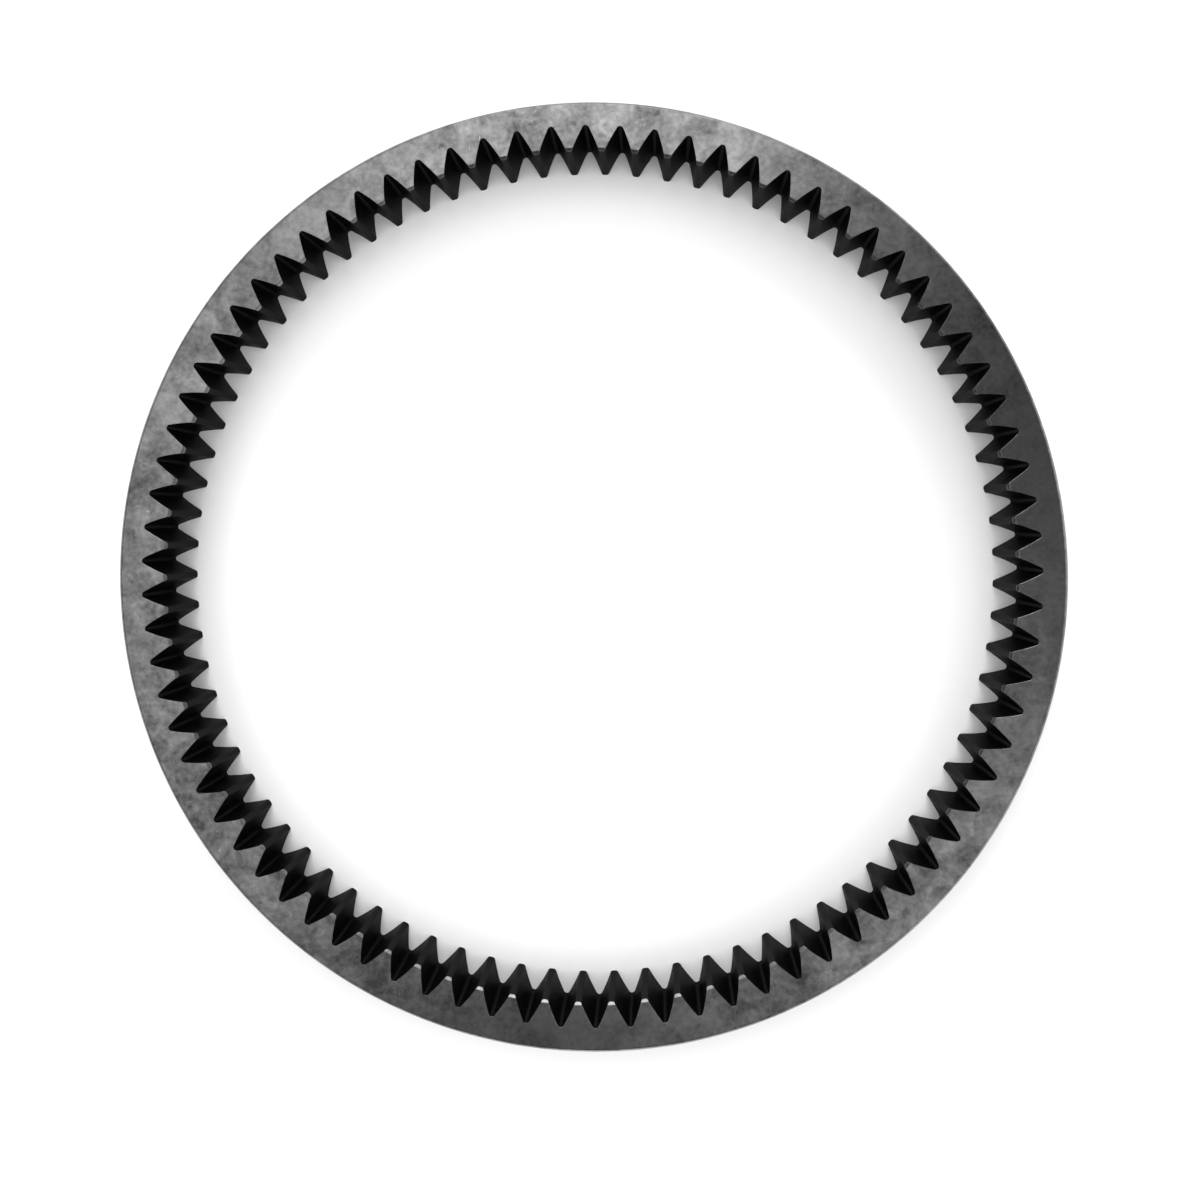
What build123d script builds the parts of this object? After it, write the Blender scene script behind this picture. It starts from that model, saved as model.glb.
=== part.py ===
from build123d import *
import os
from math import atan, cos, pi, radians, sin, sqrt, tan

# Internal ring gear: one plain steel ring with straight involute teeth round its bore.
# It lies flat with its axis on Z, its back face on Z = 0 and the middle of a tooth space on +X.

# Driving sizes, in millimetres and degrees.
module = 2.0              # pitch diameter divided by the number of teeth
tooth_count = 81
pressure_angle = 25.0
addendum = 2.0            # how far the teeth stand inside the pitch circle
backlash = 0.24           # how much wider a space is than a tooth would be, on the pitch circle
root_nose_radius = 0.6    # full round bottom of each tooth space
rim_thickness = 4.5       # solid rim from the bottom of the spaces to the outside
face_width = 19.0         # length of the teeth, which is the ring's thickness
tip_chamfer = 0.5         # turned on the bore before the teeth are cut, at both faces
rim_chamfer = 0.5         # on the outside edges, at both faces
cutter_overrun = 0.5      # how far the cut outline reaches into the bore, past the tooth tips
flank_points = 6          # points that carry each involute flank

# Gear circles, and the width of a space along the pitch circle.
pitch_radius = module * tooth_count / 2
base_radius = pitch_radius * cos(radians(pressure_angle))
tip_radius = pitch_radius - addendum
space_width = module * pi / 2 + backlash


def turned_angle(roll):
    """Polar angle that an involute turns through over this roll from the base circle, in radians."""
    return roll - atan(roll)


# Half the angle of a space, measured on the base circle where both flanks begin.
half_space_angle = space_width / 2 / pitch_radius + turned_angle(tan(radians(pressure_angle)))


def roll_at_radius(radius):
    """Roll at which the involute of the base circle reaches this radius."""
    return sqrt((radius / base_radius) ** 2 - 1)


def nose_radius_at(roll):
    """Radius of the circle, centred on the middle of the space, that touches the flank here."""
    return base_radius * (roll + tan(half_space_angle - roll))


def roll_at_nose():
    """Roll at which the flank runs into the round bottom, where that circle has the nose's radius."""
    nearer = half_space_angle
    farther = half_space_angle + radians(60)
    for _ in range(50):
        middle = (nearer + farther) / 2
        if nose_radius_at(middle) > root_nose_radius:
            nearer = middle
        else:
            farther = middle
    return middle


start_roll = roll_at_radius(tip_radius - cutter_overrun)
end_roll = roll_at_nose()
root_radius = base_radius / cos(half_space_angle - end_roll) + root_nose_radius
outer_radius = root_radius + rim_thickness


def flank_point(roll, side):
    """Point of the flank on one side, +1 or -1, of the middle of the space."""
    radius = base_radius * sqrt(1 + roll**2)
    angle = half_space_angle - turned_angle(roll)
    return Vector(radius * cos(angle), side * radius * sin(angle))


def flank_direction(roll, side):
    """Direction in which the flank leaves this point on its way out to the rim."""
    angle = half_space_angle - roll
    return Vector(cos(angle), side * sin(angle))


def flank(side):
    """One involute flank, from inside the bore out to the round bottom."""
    step = (end_roll - start_roll) / (flank_points - 1)
    points = [flank_point(start_roll + i * step, side) for i in range(flank_points)]
    directions = [flank_direction(start_roll, side), flank_direction(end_roll, side)]
    return Spline(points, tangents=directions)


def tooth_space():
    """Outline of one space: two flanks, the full round bottom and the open side in the bore."""
    with BuildSketch() as space:
        with BuildLine():
            left = flank(1)
            right = flank(-1)
            ThreePointArc(left @ 1, (root_radius, 0), right @ 1)
            Line(right @ 0, left @ 0)
        make_face()
    return space.sketch


def ring_gear():
    """Turned ring with chamfered edges and the tooth spaces cut straight through it."""
    with BuildPart() as gear:
        with BuildSketch(Plane.XZ) as section:
            with Locations((tip_radius, 0)):
                Rectangle(outer_radius - tip_radius, face_width, align=(Align.MIN, Align.MIN))
            corners = section.vertices().group_by(Axis.X)
            chamfer(corners[0], length=tip_chamfer)
            chamfer(corners[-1], length=rim_chamfer)
        revolve(axis=Axis.Z)
        with BuildSketch():
            with PolarLocations(0, tooth_count):
                add(tooth_space())
        extrude(amount=face_width, mode=Mode.SUBTRACT)
    return gear.part


os.makedirs("parts", exist_ok=True)
export_step(ring_gear(), "parts/ring_gear.step")

print(f"tip diameter {2 * tip_radius:.3f}, pitch diameter {2 * pitch_radius:.3f}")
print(f"root diameter {2 * root_radius:.3f}, outer diameter {2 * outer_radius:.3f}")
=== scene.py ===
import bpy
from math import atan, cos, pi, radians, sin, sqrt, tan
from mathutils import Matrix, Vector


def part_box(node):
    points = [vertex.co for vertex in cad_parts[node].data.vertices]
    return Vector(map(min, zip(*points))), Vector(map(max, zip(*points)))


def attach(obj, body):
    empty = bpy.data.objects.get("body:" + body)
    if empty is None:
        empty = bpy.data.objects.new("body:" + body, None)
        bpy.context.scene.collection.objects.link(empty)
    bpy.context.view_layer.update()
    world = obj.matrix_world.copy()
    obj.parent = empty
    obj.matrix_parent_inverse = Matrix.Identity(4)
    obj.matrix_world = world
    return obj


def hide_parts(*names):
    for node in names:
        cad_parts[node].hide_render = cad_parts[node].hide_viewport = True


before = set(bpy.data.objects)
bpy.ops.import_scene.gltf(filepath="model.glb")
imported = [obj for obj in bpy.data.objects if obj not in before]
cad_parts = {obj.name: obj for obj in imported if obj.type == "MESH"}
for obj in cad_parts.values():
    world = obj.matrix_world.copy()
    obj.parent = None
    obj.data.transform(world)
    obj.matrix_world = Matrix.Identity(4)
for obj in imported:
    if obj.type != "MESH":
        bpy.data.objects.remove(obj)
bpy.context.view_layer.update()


# ---- Ring gear ----
# One piece of alloy steel, turned as a plain ring and chamfered, then shaped with straight teeth all
# the way through its bore. It is hardened and phosphated, which leaves the teeth black. The two faces
# are ground flat last, back to bare grey steel, and every sharp edge is broken by hand.

module = 0.002
tooth_count = 81
pressure_angle = radians(25)
addendum = 0.002
backlash = 0.00024
root_nose_radius = 0.0006
tip_chamfer = 0.0005
rim_chamfer = 0.0005
tip_corner_radius = 0.0003
tip_corner_steps = 3
broken_edge = 0.00012
flank_steps = 6
nose_steps = 12
touching = 1e-6

ring_low, ring_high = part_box("ring_gear")
face_width = ring_high.z - ring_low.z
outer_radius = ring_high.x
pitch_radius = module * tooth_count / 2
base_radius = pitch_radius * cos(pressure_angle)
tip_radius = pitch_radius - addendum
pitch_angle = 2 * pi / tooth_count
space_width = module * pi / 2 + backlash


def turned_angle(roll):
    """Polar angle that an involute turns through over this roll from the base circle."""
    return roll - atan(roll)


half_space_angle = space_width / 2 / pitch_radius + turned_angle(tan(pressure_angle))


def nose_radius_at(roll):
    """Radius of the circle on the middle of the space that touches the flank at this roll."""
    return base_radius * (roll + tan(half_space_angle - roll))


def roll_at_nose():
    """Roll at which the flank runs into the round bottom of the space."""
    nearer = half_space_angle
    farther = half_space_angle + radians(60)
    for _ in range(50):
        middle = (nearer + farther) / 2
        if nose_radius_at(middle) > root_nose_radius:
            nearer = middle
        else:
            farther = middle
    return middle


def half_space():
    """Half of a tooth space as (radius, angle from its middle), from its bottom to the tooth tip."""
    end_roll = roll_at_nose()
    tip_roll = sqrt((tip_radius / base_radius) ** 2 - 1)
    nose_centre = base_radius / cos(half_space_angle - end_roll)
    nose_end = pi / 2 + half_space_angle - end_roll
    points = []
    for i in range(nose_steps):
        turn = nose_end * i / nose_steps
        point = Vector((nose_centre + root_nose_radius * cos(turn), root_nose_radius * sin(turn)))
        points.append((point.length, atan(point.y / point.x)))
    for i in range(flank_steps + 1):
        roll = end_roll + (tip_roll - end_roll) * i / flank_steps
        points.append((base_radius * sqrt(1 + roll**2), half_space_angle - turned_angle(roll)))
    return points


def select_edges(mesh_object, wanted):
    """Selects, in edit mode, the edges whose two ends satisfy wanted(first, second)."""
    bpy.ops.object.mode_set(mode="EDIT")
    bpy.ops.mesh.select_mode(type="EDGE")
    bpy.ops.mesh.select_all(action="DESELECT")
    bpy.ops.object.mode_set(mode="OBJECT")
    vertices = mesh_object.data.vertices
    for edge in mesh_object.data.edges:
        first, second = (vertices[i].co for i in edge.vertices)
        edge.select = wanted(first, second)
    bpy.ops.object.mode_set(mode="EDIT")


def select_faces(mesh_object, wanted):
    """Selects, in edit mode, the faces that satisfy wanted(face)."""
    bpy.ops.object.mode_set(mode="EDIT")
    bpy.ops.mesh.select_mode(type="FACE")
    bpy.ops.mesh.select_all(action="DESELECT")
    bpy.ops.object.mode_set(mode="OBJECT")
    for face in mesh_object.data.polygons:
        face.select = wanted(face)
    bpy.ops.object.mode_set(mode="EDIT")


def at_radius(point, radius):
    """True for a point that lies on a cylinder of this radius about the axis."""
    return abs(point.xy.length - radius) < touching


# A strip one pitch wide, from the middle of one space over a tooth to the middle of the next. Its
# inner side follows the teeth and its outer side the rim.
space_side = half_space()
outline = space_side + [(radius, pitch_angle - angle) for radius, angle in reversed(space_side)]
columns = len(outline) - 1
bpy.ops.object.select_all(action="DESELECT")
bpy.ops.mesh.primitive_grid_add(x_subdivisions=columns, y_subdivisions=1, size=1)
ring = bpy.context.object
ring.name = "steel_ring_gear"
for vertex in ring.data.vertices:
    column = round((vertex.co.x + 0.5) * columns)
    radius, angle = outline[column]
    if vertex.co.y > 0:
        radius = outer_radius
        angle = pitch_angle * column / columns
    vertex.co = (radius * cos(angle), radius * sin(angle), 0)

# Raised to the face width and left open at both sides, where the next pitches join on.
bpy.ops.object.mode_set(mode="EDIT")
bpy.ops.mesh.select_all(action="SELECT")
bpy.ops.mesh.extrude_region_move(TRANSFORM_OT_translate={"value": (0, 0, face_width)})
bpy.ops.mesh.select_all(action="SELECT")
bpy.ops.mesh.normals_make_consistent(inside=False)
sides = (Vector((0, -1, 0)), Vector((-sin(pitch_angle), cos(pitch_angle), 0)))
select_faces(ring, lambda face: max(face.normal.dot(side) for side in sides) > 0.99999)
bpy.ops.mesh.delete(type="FACE")

# The two long corners of the tooth tip are rounded, as deburring leaves them.
select_edges(ring, lambda a, b: at_radius(a, tip_radius) and at_radius(b, tip_radius) and a.z != b.z)
bpy.ops.mesh.bevel(offset=tip_corner_radius, segments=tip_corner_steps, affect="EDGES")

# The turned chamfers, cut across the tooth tip and along the rim, at the back and the front.
tooth_middle = Vector((cos(pitch_angle / 2), sin(pitch_angle / 2), 0))
for height, up in ((0, -1), (face_width, 1)):
    bpy.ops.mesh.select_all(action="SELECT")
    bpy.ops.mesh.bisect(
        plane_co=tooth_middle * (tip_radius + tip_chamfer) + Vector((0, 0, height)),
        plane_no=Vector((0, 0, up)) - tooth_middle,
        use_fill=True,
        clear_outer=True,
    )
select_edges(ring, lambda a, b: at_radius(a, outer_radius) and at_radius(b, outer_radius) and a.z == b.z)
bpy.ops.mesh.bevel(offset=rim_chamfer, segments=1, affect="EDGES")
bpy.ops.mesh.select_all(action="SELECT")
bpy.ops.mesh.normals_make_consistent(inside=False)
bpy.ops.object.mode_set(mode="OBJECT")


def linear(code):
    """Linear red, green, blue and alpha of an sRGB hex colour."""
    parts = [int(code[i:i + 2], 16) / 255 for i in (1, 3, 5)]
    return [part / 12.92 if part <= 0.04045 else ((part + 0.055) / 1.055) ** 2.4 for part in parts] + [1]


def add_node(material, kind, settings=(), values=(), links=()):
    """Adds a node with its settings, the values of its inputs, and the outputs that feed its inputs."""
    tree = material.node_tree
    node = tree.nodes.new(kind)
    for name, value in dict(settings).items():
        setattr(node, name, value)
    for name, value in dict(values).items():
        node.inputs[name].default_value = value
    for name, output in dict(links).items():
        tree.links.new(output, node.inputs[name])
    return node


def new_material(name):
    """A named material, its tree empty but for the shader and the output."""
    material = bpy.data.materials.new(name)
    material.use_nodes = True
    return material


# Surface-ground steel: a dull neutral grey metal, never quite even. Coolant and handling leave soft
# patches a few millimetres across, the wheel leaves a fine grain, and there are a few light scuffs.
grain_size = 0.0010
patch_size = 0.0042
cloud_size = 0.026
scuff_size = 0.0021
ground = new_material("surface_ground_steel")
shader = ground.node_tree.nodes["Principled BSDF"]
shader.inputs["Metallic"].default_value = 1
place = add_node(ground, "ShaderNodeTexCoord").outputs["Object"]
grain = add_node(
    ground, "ShaderNodeTexNoise",
    values={"Scale": 1 / grain_size, "Detail": 3, "Roughness": 0.6},
    links={"Vector": place},
).outputs["Fac"]
patches = add_node(
    ground, "ShaderNodeTexNoise",
    values={"Scale": 1 / patch_size, "Detail": 3, "Roughness": 0.55, "Distortion": 0.7},
    links={"Vector": place},
).outputs["Fac"]
clouds = add_node(
    ground, "ShaderNodeTexNoise",
    values={"Scale": 1 / cloud_size, "Detail": 2},
    links={"Vector": place},
).outputs["Fac"]
uneven = add_node(ground, "ShaderNodeMath", {"operation": "MULTIPLY"}, {1: 0.30}, {0: clouds}).outputs[0]
uneven = add_node(
    ground, "ShaderNodeMath",
    {"operation": "MULTIPLY_ADD"},
    {1: 0.42},
    {0: patches, 2: uneven},
).outputs[0]
uneven = add_node(
    ground, "ShaderNodeMath",
    {"operation": "MULTIPLY_ADD"},
    {1: 0.28},
    {0: grain, 2: uneven},
).outputs[0]
tone = add_node(ground, "ShaderNodeValToRGB", links={"Fac": uneven})
tone.color_ramp.elements[0].position = 0.36
tone.color_ramp.elements[0].color = linear("#515151")
tone.color_ramp.elements[1].position = 0.64
tone.color_ramp.elements[1].color = linear("#929292")
scuffs = add_node(
    ground, "ShaderNodeTexNoise",
    values={"Scale": 1 / scuff_size, "Detail": 4, "Roughness": 0.65, "Distortion": 1.4},
    links={"Vector": place},
).outputs["Fac"]
scuffs = add_node(
    ground, "ShaderNodeMapRange",
    values={"From Min": 0.66, "From Max": 0.76},
    links={"Value": scuffs},
).outputs[0]
scuffed = add_node(
    ground, "ShaderNodeMix",
    {"data_type": "RGBA"},
    {"B": linear("#AEAEAE")},
    {"Factor": scuffs, "A": tone.outputs["Color"]},
)
ground.node_tree.links.new(scuffed.outputs["Result"], shader.inputs["Base Color"])
gloss = add_node(
    ground, "ShaderNodeMapRange",
    values={"From Min": 0.36, "From Max": 0.64, "To Min": 0.38, "To Max": 0.30},
    links={"Value": uneven},
)
ground.node_tree.links.new(gloss.outputs[0], shader.inputs["Roughness"])
grit = add_node(
    ground, "ShaderNodeBump",
    values={"Strength": 0.25, "Distance": 0.00003},
    links={"Height": grain},
)
ground.node_tree.links.new(grit.outputs["Normal"], shader.inputs["Normal"])

# Phosphated hardened steel: a matt, nearly black skin that swallows light. The shaping strokes show
# along the teeth as slightly greyer streaks.
stroke_width = 0.0004
black = new_material("phosphated_black_steel")
shader = black.node_tree.nodes["Principled BSDF"]
shader.inputs["Roughness"].default_value = 0.5
shader.inputs["Specular IOR Level"].default_value = 0.015
place = add_node(black, "ShaderNodeTexCoord").outputs["Object"]
along = add_node(
    black, "ShaderNodeMapping",
    values={"Scale": (1, 1, 0.06)},
    links={"Vector": place},
).outputs[0]
strokes = add_node(
    black, "ShaderNodeTexNoise",
    values={"Scale": 1 / stroke_width, "Detail": 3, "Roughness": 0.6},
    links={"Vector": along},
).outputs["Fac"]
tone = add_node(black, "ShaderNodeValToRGB", links={"Fac": strokes})
tone.color_ramp.elements[0].position = 0.35
tone.color_ramp.elements[0].color = linear("#030303")
tone.color_ramp.elements[1].position = 0.7
tone.color_ramp.elements[1].color = linear("#0D0D0D")
black.node_tree.links.new(tone.outputs["Color"], shader.inputs["Base Color"])

# Turned steel on the tooth tips, rubbed brighter than the teeth: a plain grey metal that flashes where
# it faces a lamp, with the short marks of the turning tool round it.
mark_size = 0.0006
turned = new_material("turned_chamfer_steel")
shader = turned.node_tree.nodes["Principled BSDF"]
shader.inputs["Metallic"].default_value = 1
place = add_node(turned, "ShaderNodeTexCoord").outputs["Object"]
marks = add_node(
    turned, "ShaderNodeTexNoise",
    values={"Scale": 1 / mark_size, "Detail": 2},
    links={"Vector": place},
).outputs["Fac"]
tone = add_node(turned, "ShaderNodeValToRGB", links={"Fac": marks})
tone.color_ramp.elements[0].position = 0.3
tone.color_ramp.elements[0].color = linear("#767676")
tone.color_ramp.elements[1].position = 0.7
tone.color_ramp.elements[1].color = linear("#949494")
turned.node_tree.links.new(tone.outputs["Color"], shader.inputs["Base Color"])
shader.inputs["Roughness"].default_value = 0.38

# Turned steel on the outer wall: fine lines run round it, one for each turn under the tool. The feed is
# 0.2 mm a turn, too fine to show from here, so the lines are drawn 0.4 mm apart.
drawn_feed = 0.0004
stain_size = 0.007
wall = new_material("turned_rim_steel")
shader = wall.node_tree.nodes["Principled BSDF"]
shader.inputs["Metallic"].default_value = 1
place = add_node(wall, "ShaderNodeTexCoord").outputs["Object"]
around = add_node(
    wall, "ShaderNodeMapping",
    values={"Scale": (0.012, 0.012, 1)},
    links={"Vector": place},
).outputs[0]
lines = add_node(
    wall, "ShaderNodeTexNoise",
    values={"Scale": 1 / drawn_feed, "Detail": 2, "Roughness": 0.6},
    links={"Vector": around},
).outputs["Fac"]
stains = add_node(
    wall, "ShaderNodeTexNoise",
    values={"Scale": 1 / stain_size, "Detail": 4, "Roughness": 0.6, "Distortion": 0.5},
    links={"Vector": place},
).outputs["Fac"]
worn = add_node(wall, "ShaderNodeMath", {"operation": "MULTIPLY"}, {1: 0.35}, {0: stains}).outputs[0]
worn = add_node(
    wall, "ShaderNodeMath",
    {"operation": "MULTIPLY_ADD"},
    {1: 0.65},
    {0: lines, 2: worn},
).outputs[0]
tone = add_node(wall, "ShaderNodeValToRGB", links={"Fac": worn})
tone.color_ramp.elements[0].position = 0.36
tone.color_ramp.elements[0].color = linear("#5E5E5E")
tone.color_ramp.elements[1].position = 0.64
tone.color_ramp.elements[1].color = linear("#A0A0A0")
wall.node_tree.links.new(tone.outputs["Color"], shader.inputs["Base Color"])
gloss = add_node(
    wall, "ShaderNodeMapRange",
    values={"From Min": 0.36, "From Max": 0.64, "To Min": 0.42, "To Max": 0.32},
    links={"Value": worn},
)
wall.node_tree.links.new(gloss.outputs[0], shader.inputs["Roughness"])
ridges = add_node(
    wall, "ShaderNodeBump",
    values={"Strength": 0.3, "Distance": 0.00005},
    links={"Height": lines},
)
wall.node_tree.links.new(ridges.outputs["Normal"], shader.inputs["Normal"])

# The flat faces and the rim's chamfers are ground steel, the chamfers on the tooth tips turned steel,
# the teeth black, and the outer wall turned steel with its lines.
for material in (ground, black, turned, wall):
    ring.data.materials.append(material)
for face in ring.data.polygons:
    slope = abs(face.normal.z)
    inside = face.center.xy.length < outer_radius - 2 * rim_chamfer
    if slope > 0.99 or (slope > 0.1 and not inside):
        face.material_index = 0
    elif slope > 0.1:
        face.material_index = 2
    elif inside:
        face.material_index = 1
    else:
        face.material_index = 3

# The strip is repeated round the axis and joined into one closed skin, and its sharp edges are broken.
bpy.ops.object.mode_set(mode="EDIT")
bpy.ops.mesh.select_all(action="SELECT")
bpy.ops.mesh.spin(
    steps=tooth_count - 1,
    dupli=True,
    angle=2 * pi - pitch_angle,
    center=(0, 0, 0),
    axis=(0, 0, 1),
)
bpy.ops.mesh.select_all(action="SELECT")
bpy.ops.mesh.remove_doubles(threshold=touching)
bpy.ops.mesh.normals_make_consistent(inside=False)
bpy.ops.object.mode_set(mode="OBJECT")
bpy.ops.object.shade_smooth()
edges = ring.modifiers.new("broken_edges", "BEVEL")
edges.width = broken_edge
edges.segments = 2
edges.limit_method = "ANGLE"
edges.angle_limit = radians(30)
edges.use_clamp_overlap = False
edges.harden_normals = True
bpy.ops.object.modifier_apply(modifier="broken_edges")

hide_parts("ring_gear")
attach(ring, "root")


# ---- Floor ----
# A plain sheet of matt white paper that the ring lies on, wide enough to fill the view from above and
# to run back to the horizon from the side.
bpy.ops.object.select_all(action="DESELECT")
bpy.ops.mesh.primitive_plane_add(size=8, location=(0, 0, 0))
floor = bpy.context.object
floor.name = "floor"
paper = new_material("white_paper")
shader = paper.node_tree.nodes["Principled BSDF"]
shader.inputs["Base Color"].default_value = linear("#F2F2F2")
shader.inputs["Roughness"].default_value = 0.9
shader.inputs["Specular IOR Level"].default_value = 0.0
floor.data.materials.append(paper)


# ---- Studio light ----
# The white walls and ceiling of the room light the floor evenly from all sides. Their mirror image is
# kept out of the steel, as black cards round the gear keep it out in a studio, so the steel shows only
# the lamps: soft boxes above the back and the left of the ring, and weaker ones round it.
world = bpy.data.worlds.new("white_room")
world.use_nodes = True
world.node_tree.nodes["Background"].inputs["Color"].default_value = linear("#FFFFFF")
world.cycles_visibility.glossy = False
bpy.context.scene.world = world


def softbox(name, place, width, height, power):
    """A rectangular lamp at this place, turned to the middle of the ring."""
    facing = (-Vector(place)).to_track_quat("-Z", "Y").to_euler()
    bpy.ops.object.light_add(type="AREA", location=place, rotation=facing)
    lamp = bpy.context.object
    lamp.name = name
    lamp.data.shape = "RECTANGLE"
    lamp.data.size = width
    lamp.data.size_y = height
    lamp.data.energy = power


softbox("above_back", (-0.04, 0.33, 0.8), 0.28, 0.28, 1.06)
softbox("above_left", (-0.36, -0.03, 0.8), 0.75, 0.28, 1.31)
softbox("above_front_right", (0.21, -0.28, 0.8), 0.28, 0.28, 0.48)
softbox("low_back", (0, 1.25, 0.42), 0.9, 0.4, 7.0)
softbox("side_back", (0, 1.0, 0.84), 0.5, 0.4, 2.8)
softbox("side_right", (1.0, 0, 0.84), 0.5, 0.4, 1.7)
softbox("low_back_right", (0.85, 0.9, 0.33), 0.7, 0.4, 1.1)
softbox("low_front_right", (0.85, -0.85, 0.33), 0.7, 0.4, 1.9)


# ---- Camera ----
# Close above the middle of the bore and leaning a few degrees, so that more of the teeth shows on one
# side. The lens is slightly long, and the frame is shifted to hold the whole ring.
bpy.ops.object.camera_add(
    location=(0.0138, 0.0097, face_width + 0.2597),
    rotation=(radians(0.90), radians(4.37), radians(-0.61)),
)
camera = bpy.context.object
camera.data.sensor_width = 36
camera.data.lens = 42
camera.data.shift_x = 0.0428
camera.data.shift_y = -0.0838
camera.data.clip_start = 0.01
bpy.context.scene.camera = camera
bpy.context.scene.view_settings.view_transform = "Standard"
